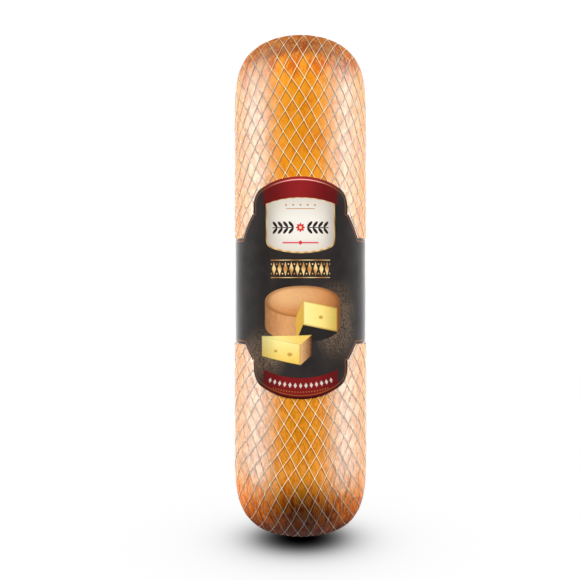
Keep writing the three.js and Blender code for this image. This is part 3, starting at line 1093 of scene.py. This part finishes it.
def printRedFields(sheet):
    head, foot = redFields["head"], redFields["foot"]
    underArc = sheet.away(0.0, foot["middle"]) - foot["radius"]
    shape = sheet.most(
        sheet.least(-1.0 * headArc(sheet), sheet.z - head["start"], head["halfWidth"] - sheet.side),
        sheet.least(underArc, foot["start"] - sheet.z, foot["halfWidth"] - sheet.side),
    )
    shaded = sheet.side.rising(0.0, redFields["shadeReach"]) * redFields["shade"]
    shaded = shaded + sheet.cloud.rising(*redFields["clouds"]) * (1 - redFields["shade"])
    low = sheet.z.rising(*redFields["lowShade"]) * redFields["lowShadeShare"]
    sheet.lay(shape, sheet.blend(sheet.most(shaded, low), "red", "redShade"))


def printPlaque(sheet):  # cream with a gold border
    arc = plaque["radius"] - sheet.away(0.0, plaque["middle"])
    border = (plaque["halfWidth"] - sheet.side).math("SMOOTH_MIN", arc, plaque["cornerRadius"])
    tone = sheet.sheen(*plaque["sheen"])
    sheet.lay(sheet.least(border, headArc(sheet)), sheet.blend(tone, "goldLight", "gold"))
    shaded = sheet.away(*plaque["light"]).rising(*plaque["shade"])
    inside = sheet.least(border - plaque["border"], headArc(sheet) - plaque["topBorder"])
    sheet.lay(inside, sheet.blend(shaded, "cream", "creamShade"))


def printEmblem(sheet):  # a rosette between two leafy twigs, with a plain rule over and under it
    up = sheet.z - emblem["height"]
    start, pitch = emblem["start"], emblem["leafPitch"]
    alongLeaf = sheet.repeated(sheet.side - start - pitch / 2, pitch)
    outLeaf = abs(up) - emblem["leafLong"] * emblem["leafOut"]
    lean = math.radians(emblem["leafLean"])
    p = alongLeaf * math.cos(lean) + outLeaf * math.sin(lean)
    q = outLeaf * math.cos(lean) - alongLeaf * math.sin(lean)
    wide = emblem["leafWide"]
    leaf = sheet.disc(1.0, p / emblem["leafLong"], q / wide) * wide
    inTwig = sheet.least(sheet.side - start, start + pitch * emblem["leaves"] - sheet.side)
    sheet.lay(sheet.least(sheet.most(leaf, emblem["stem"] - abs(up)), inTwig), "ink")
    rosette = emblem["rosette"]
    petals = (up.math("ARCTAN2", sheet.s) * rosette["petals"]).math("COSINE") * rosette["petalDepth"]
    sheet.lay(sheet.disc(petals + rosette["radius"], sheet.s, up), "accent")
    sheet.lay(sheet.disc(rosette["heart"], sheet.s, up), "goldLight")
    rule, hairline, dots = emblem["rule"], emblem["hairline"], emblem["dots"]
    fromRule = abs(up + rule["drop"])
    shape = sheet.least(rule["half"] - fromRule, rule["reach"] - sheet.side)
    sheet.lay(sheet.most(shape, rule["lozenge"] - (sheet.side + fromRule)), "accent")
    shape = sheet.least(hairline["half"] - abs(up - hairline["rise"]), hairline["reach"] - sheet.side)
    row = sheet.disc(dots["radius"], sheet.repeated(sheet.s, dots["pitch"]), up - dots["rise"])
    sheet.lay(sheet.most(shape, sheet.least(row, dots["reach"] - sheet.side)), "gold")


def printFrieze(sheet):  # gold lozenges with dots between two rules
    up = abs(sheet.z - frieze["height"])
    half = frieze["pitch"] / 2
    cell = abs(sheet.repeated(sheet.s + half, frieze["pitch"]))
    wide, tall = frieze["lozenge"]
    lozenges = (1.0 - (cell / wide + up / tall)) * wide
    dots = sheet.disc(frieze["dot"], cell - half, up - tall * frieze["dotRise"])
    rules = frieze["rule"] - abs(up - frieze["ruleAt"])
    shape = sheet.least(sheet.most(lozenges, dots, rules), frieze["halfWidth"] - sheet.side)
    sheet.lay(shape, sheet.blend(sheet.sheen(*frieze["sheen"]), "gold", "goldLight"))


def printWheel(sheet):  # a cheese wheel with a piece cut out
    s, z = sheet.s, sheet.z
    mx, mz = wheel["middle"]
    wall, squash = wheel["wall"], wheel["squash"]
    across = (s - mx) * (1 / wheel["radius"])
    arch = (1.0 - across * across).math("MAXIMUM", 0.0).math("SQRT") * squash
    body = sheet.least(arch - (z - mz), (z - (mz - wall)) + arch, wheel["radius"] - abs(s - mx))
    stretched = sheet.g.vector("MULTIPLY", sheet.place, wheel["grainStretch"])
    fibre = sheet.g.noise(stretched, *wheel["grain"])
    wallTone = abs(across - wheel["wallLight"]) * wheel["wallFall"]
    wallTone = (wallTone + (fibre - 0.5) * wheel["grainShare"]).clamped()
    crust = sheet.blend(wallTone, "crustLight", "crustDark")
    sheet.laySoft(body, sheet.blend(wheel["wallCrust"], crust, "crust"))
    fromTop = sheet.away(mx, mz, wheel["radius"], squash)
    lightX, lightZ, wide, high = wheel["light"]
    topTone = sheet.away(mx + lightX, mz + lightZ, wide, high).rising(*wheel["shade"])
    topTone = (topTone + (sheet.speck - 0.5) * wheel["specks"]).clamped()
    crust = sheet.blend(topTone, "crustLight", "crust")
    crust = sheet.blend(fromTop.rising(*wheel["rim"]) * wheel["rimShare"], crust, "crustDark")
    sheet.laySoft((wheel["topEdge"] - fromTop) * squash, crust)

    # the notch: the dark board first, then both cut faces
    left, right = wheel["cutTo"]
    top = mz + wheel["cutFrom"]
    low = mz - wall - squash - wheel["boardDrop"]
    middle = (mx, top)
    notch = sheet.polygon(middle, left, (left[0], low), (right[0], low), right)
    sheet.lay(sheet.least(notch, body + wheel["cutGap"]), "film")
    middleFoot, leftFoot, rightFoot = ((at, up - wall) for at, up in (middle, left, right))
    facing = sheet.polygon(middle, middleFoot, rightFoot, right)
    fromTone, toTone = wheel["pasteTones"]
    pasteTone = (s - mx) * ((toTone - fromTone) / (right[0] - mx)) + fromTone
    rindTone = sheet.least(right[0] - s, facing).rising(*wheel["cutRind"]) * printing["pasteEdge"]
    paste = sheet.grainy(pasteTone, "pasteLight", "paste")
    sheet.lay(facing, sheet.blend(rindTone, paste, "pasteDark"))
    turned = sheet.polygon(left, leftFoot, middleFoot, middle)
    sheet.lay(turned, sheet.grainy(wheel["turnedTone"], "paste", "pasteDark"))


def printWedge(sheet):  # the piece in front of the wheel
    tip, front, back = wedge["tip"], wedge["front"], wedge["back"]
    tipFoot, frontFoot, backFoot = ((x, z - wedge["wall"]) for x, z in (tip, front, back))
    crustEnd = sheet.polygon(frontFoot, backFoot, back, front)
    endTone = (sheet.s - front[0]) * (1 / (back[0] - front[0]))
    sheet.laySoft(crustEnd, sheet.grainy(endTone, "crustLight", "crustDark"))
    cutSide = sheet.polygon(tipFoot, frontFoot, front, tip)
    paste = sheet.grainy((sheet.z - frontFoot[1]) * (1 / wedge["sideRise"]), "paste", "pasteLight")
    edgeTone = (sheet.s - front[0]).rising(*wedge["edge"]) * printing["pasteEdge"]
    sheet.laySoft(cutSide, sheet.blend(edgeTone, paste, "pasteDark"))
    onTop = sheet.polygon(tip, front, back)
    topTone = sheet.away(*tip, *wedge["topReach"])
    sheet.laySoft(onTop, sheet.grainy(topTone, "pasteLight", "paste"))
    for across, up, wide, high in eyes["spots"]:
        eye = (1.0 - sheet.away(across, up, wide, high)) * high
        sheet.laySoft(eye, "pasteDark", eyes["strength"])


def printFootMarks(sheet):  # a row of cream marks on the foot's red field, and dim dots under it
    middle = redFields["foot"]["middle"]
    fromMiddle = sheet.away(0.0, middle)
    along = sheet.s.math("ARCTAN2", middle - sheet.z) * footMarks["radius"]
    mark, dot = footMarks["mark"], footMarks["dot"]
    cell = abs(sheet.repeated(along, mark["pitch"]))
    marks = mark["size"] - (cell + abs(fromMiddle - mark["radius"]) * mark["slimness"])
    sheet.lay(sheet.least(marks, mark["reach"] - sheet.side), "creamShade")
    dots = sheet.disc(dot["size"], sheet.repeated(along, dot["pitch"]), fromMiddle - dot["radius"])
    sheet.lay(sheet.least(dots, dot["reach"] - sheet.side), "gold", 0.6)


def printMaterial():
    material, g = newMaterial("printedFilm")
    sheet = Sheet(g, millimetres(g))
    layers = (printFilm, printRedFields, printPlaque, printEmblem, printFrieze)
    for layer in (*layers, printWheel, printWedge, printFootMarks):
        layer(sheet)

    # gold line round the outline, with a painted highlight at the middle of the head
    half = printing["lineWidth"] / 2
    line = half - abs(labelInside(sheet) - (printing["lineInset"] + half))
    glint = sheet.z.rising(*printing["glintHeights"]) * sheet.side.rising(*printing["glintSides"])
    sheet.lay(line, sheet.blend(glint, "outline", "outlineLight"))

    # matt print under a clear film
    emboss = sheet.speck * printing["speckDepth"]
    emboss = emboss + g.noise(sheet.place, *printing["wave"]) * printing["waveDepth"]
    normal = g.bump(emboss, printing["bumpStrength"])
    smooth, rough = printing["mattRoughness"]
    matt = principled(g, printing["matt"], sheet.colour, smooth + sheet.speck * rough, normal)
    mirror = principled(g, {"Metallic": 1.0}, (1, 1, 1, 1), printing["filmRoughness"], normal)
    facing = g.add("ShaderNodeLayerWeight", {"Normal": normal}, output="Facing")
    share = (facing ** printing["filmFall"] * printing["filmGloss"]).clamped()
    finishMaterial(g, g.add("ShaderNodeMixShader", {"Fac": share, 1: matt, 2: mirror}))
    return material


print("cheese: shaping the log")
cheesePiece = newPiece("cheeseLog")
cheeseValues = {**cheeseShape, "Material": rindMaterial()}
applyShapeTree(cheesePiece, cheeseTree(cheeseValues), cheeseValues)
markNet(cheesePiece)
print("cheese:", sum(len(p.vertices) - 2 for p in cheesePiece.data.polygons), "triangles")

print("net: laying the threads")
netPiece = netSkeleton()
netValues = {**netShape, "Rind": cheesePiece, "Material": threadMaterial()}
applyShapeTree(netPiece, netTree(netValues), netValues)
print("net:", sum(len(p.vertices) - 2 for p in netPiece.data.polygons), "triangles")

print("label: wrapping the band")
bandPiece = labelPiece()
bandPiece.data.materials.append(printMaterial())

for piece, node, slot in (
    (cheesePiece, "cheese", "rind"),
    (netPiece, "net", "thread"),
    (bandPiece, "label", "label_film"),
):
    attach(piece, "root")
    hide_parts(node)


studio = {
    "backdrop": 1.05,
    "softBox": 5.8,  # what the rind mirrors at both sides
    "boxStart": (0.90, 0.22),  # cosines of the turn off the camera's side
    "boxEnd": (-0.83, 0.20),
    "boxTop": (0.85, 0.10),  # sines of the height over the horizon
    "boxFoot": (-0.50, -0.16),
    "behind": 1.25,  # mirrored from behind
    "behindTurn": (-0.1, -0.7),
    "behindHeight": (0.55, 0.2),
    "ahead": 0.01,  # and from the camera's side
    "ground": 0.5,  # and from straight below
    "groundDepth": (-0.6, -0.85),
    "fill": 0.12,  # even light from above on what isn't mirrored
    "fillHeight": (-0.15, 0.5),
    "crown": 0.25,  # more of it from straight overhead
    "crownHeight": (0.4, 0.9),
    "rim": 4.9,  # soft light from both sides
    "rimStart": (0.25, -0.10),
    "rimEnd": (-0.75, -0.35),
    "rimMiddle": 0.3,
    "rimHeight": (1.0, 0.6),
    "highRim": 1.1,  # the share by which it is stronger above
    "highRimHeight": (0.2, 0.7),
    "lampDistance": 2.4,
    "beamSpread": 0.7,  # degrees
}
# degrees turned from the camera's side and raised, the height aimed at, half the lit width and
# height, and the power
lamps = {
    "keyLight": (0, 42, 0.231, 0.026, 0.183, 0.064),
    "backLight": (180, 42, 0.231, 0.030, 0.183, 0.024),
    "footLightLeft": (-75, 0, 0.030, 0.045, 0.022, 0.007),
    "footLightRight": (75, 0, 0.030, 0.045, 0.022, 0.003),
}
# painted shadows on the floor: middles, in front of the log's own, and how far and how sharply each
# shade reaches
shadow = {"before": (-28.0, 46.0, 4.45), "under": (0.0, 38.0, 6.0)}
floorWidth = 24.0


def studioWorld():
    world = bpy.data.worlds.new("studio")
    world.use_nodes = True
    world.node_tree.nodes.clear()
    world.cycles.sampling_method = "NONE"
    bpy.context.scene.world = world
    g = Graph(world.node_tree)
    x, y, z = g.parts(g.add("ShaderNodeTexCoord", output="Generated"))
    ahead = -1.0 * y / (x * x + y * y + 0.0001).math("SQRT")

    def lobe(power, *edges):
        for value, edge in edges:
            power = value.rising(*studio[edge]) * power
        return power

    mirrored = studio["ahead"] + lobe(
        studio["softBox"], (ahead, "boxStart"), (ahead, "boxEnd"), (z, "boxTop"), (z, "boxFoot")
    )
    mirrored = mirrored + lobe(studio["behind"], (ahead, "behindTurn"), (abs(z), "behindHeight"))
    mirrored = mirrored + lobe(studio["ground"], (z, "groundDepth"))
    offMiddle = abs(z - studio["rimMiddle"])
    rim = lobe(studio["rim"], (ahead, "rimStart"), (ahead, "rimEnd"), (offMiddle, "rimHeight"))
    rim = rim * (1.0 + lobe(studio["highRim"], (z, "highRimHeight")))
    lit = lobe(studio["fill"], (z, "fillHeight")) + lobe(studio["crown"], (z, "crownHeight")) + rim
    ray = g.add("ShaderNodeLightPath")
    seen, glossy = g.outputs(ray, "Is Camera Ray", "Is Glossy Ray")
    other = 1.0 - (seen + glossy).clamped()
    strength = seen * studio["backdrop"] + glossy * mirrored + other * lit
    shader = g.add("ShaderNodeBackground", {"Color": (1, 1, 1, 1), "Strength": strength})
    g.add("ShaderNodeOutputWorld", {"Surface": shader})


def beamLamp(name, turn, rise, aim, wide, high, power):  # aimed at the near side of the log
    t, r = math.radians(turn), math.radians(rise)
    across = Vector((math.sin(t), -math.cos(t), 0))
    away = across * math.cos(r) + Vector((0, 0, math.sin(r)))
    light = bpy.data.lights.new(name, "AREA")
    light.energy = power
    light.shape = "RECTANGLE"
    light.size = 2 * wide
    light.size_y = 2 * high * math.cos(r)
    light.spread = math.radians(studio["beamSpread"])
    piece = newObject(name, light)
    piece.location = across * log["radius"] / 1000 + Vector((0, 0, aim)) + away * studio["lampDistance"]
    piece.rotation_euler = (-away).to_track_quat("-Z", "Y").to_euler()
    piece.visible_glossy = False
    piece.visible_camera = False


def floorPiece():
    half = floorWidth / 2
    corners = [(-half, -half, 0), (half, -half, 0), (half, half, 0), (-half, half, 0)]
    piece = newPiece("floor", corners, (), [(0, 1, 2, 3)])
    material, g = newMaterial("paleFloor")
    x, y, z = g.parts(millimetres(g))

    def clearing(centre, reach, steepness):  # 0 in the painted shade, 1 out on the open floor
        forward = y - centre
        away = (x * x + forward * forward + 0.01).math("SQRT")
        return 1.0 / (1.0 + (reach / away) ** steepness)

    # painted shadow round the foot, in the floor's glow
    shade = clearing(*shadow["before"]).math("MINIMUM", clearing(*shadow["under"]))
    grey = g.add("ShaderNodeCombineColor", {"Red": shade, "Green": shade, "Blue": shade})
    surface = {"Emission Color": grey, "Emission Strength": 1.0, "Specular IOR Level": 0.0}
    surface |= {"Base Color": (0, 0, 0, 1), "Roughness": 1.0}
    finishMaterial(g, g.add("ShaderNodeBsdfPrincipled", surface))
    piece.data.materials.append(material)
    piece.visible_diffuse = False
    piece.visible_glossy = False
    return piece


picture = {
    "pixels": 580,
    "axisPixel": 300.5,  # from the left
    "levelPixel": 275,  # from the top
    "focalPixels": 789.2,
    "distance": 0.708,
    "level": 0.2259,
    "roll": 0.06,
    "film": 36,
}


def camera():
    eye = bpy.data.cameras.new("camera")
    eye.sensor_width = picture["film"]
    eye.lens = picture["film"] * picture["focalPixels"] / picture["pixels"]
    eye.shift_x = -(picture["axisPixel"] - picture["pixels"] / 2) / picture["pixels"]
    eye.shift_y = -(picture["pixels"] / 2 - picture["levelPixel"]) / picture["pixels"]
    piece = newObject("camera", eye)
    piece.location = (0, -picture["distance"], picture["level"])
    piece.rotation_euler = (math.radians(90), math.radians(picture["roll"]), 0)
    bpy.context.scene.camera = piece


print("studio: floor, lights, camera")
studioWorld()
floorPiece()
for name, settings in lamps.items():
    beamLamp(name, *settings)
camera()
bpy.context.scene.view_settings.view_transform = "Standard"
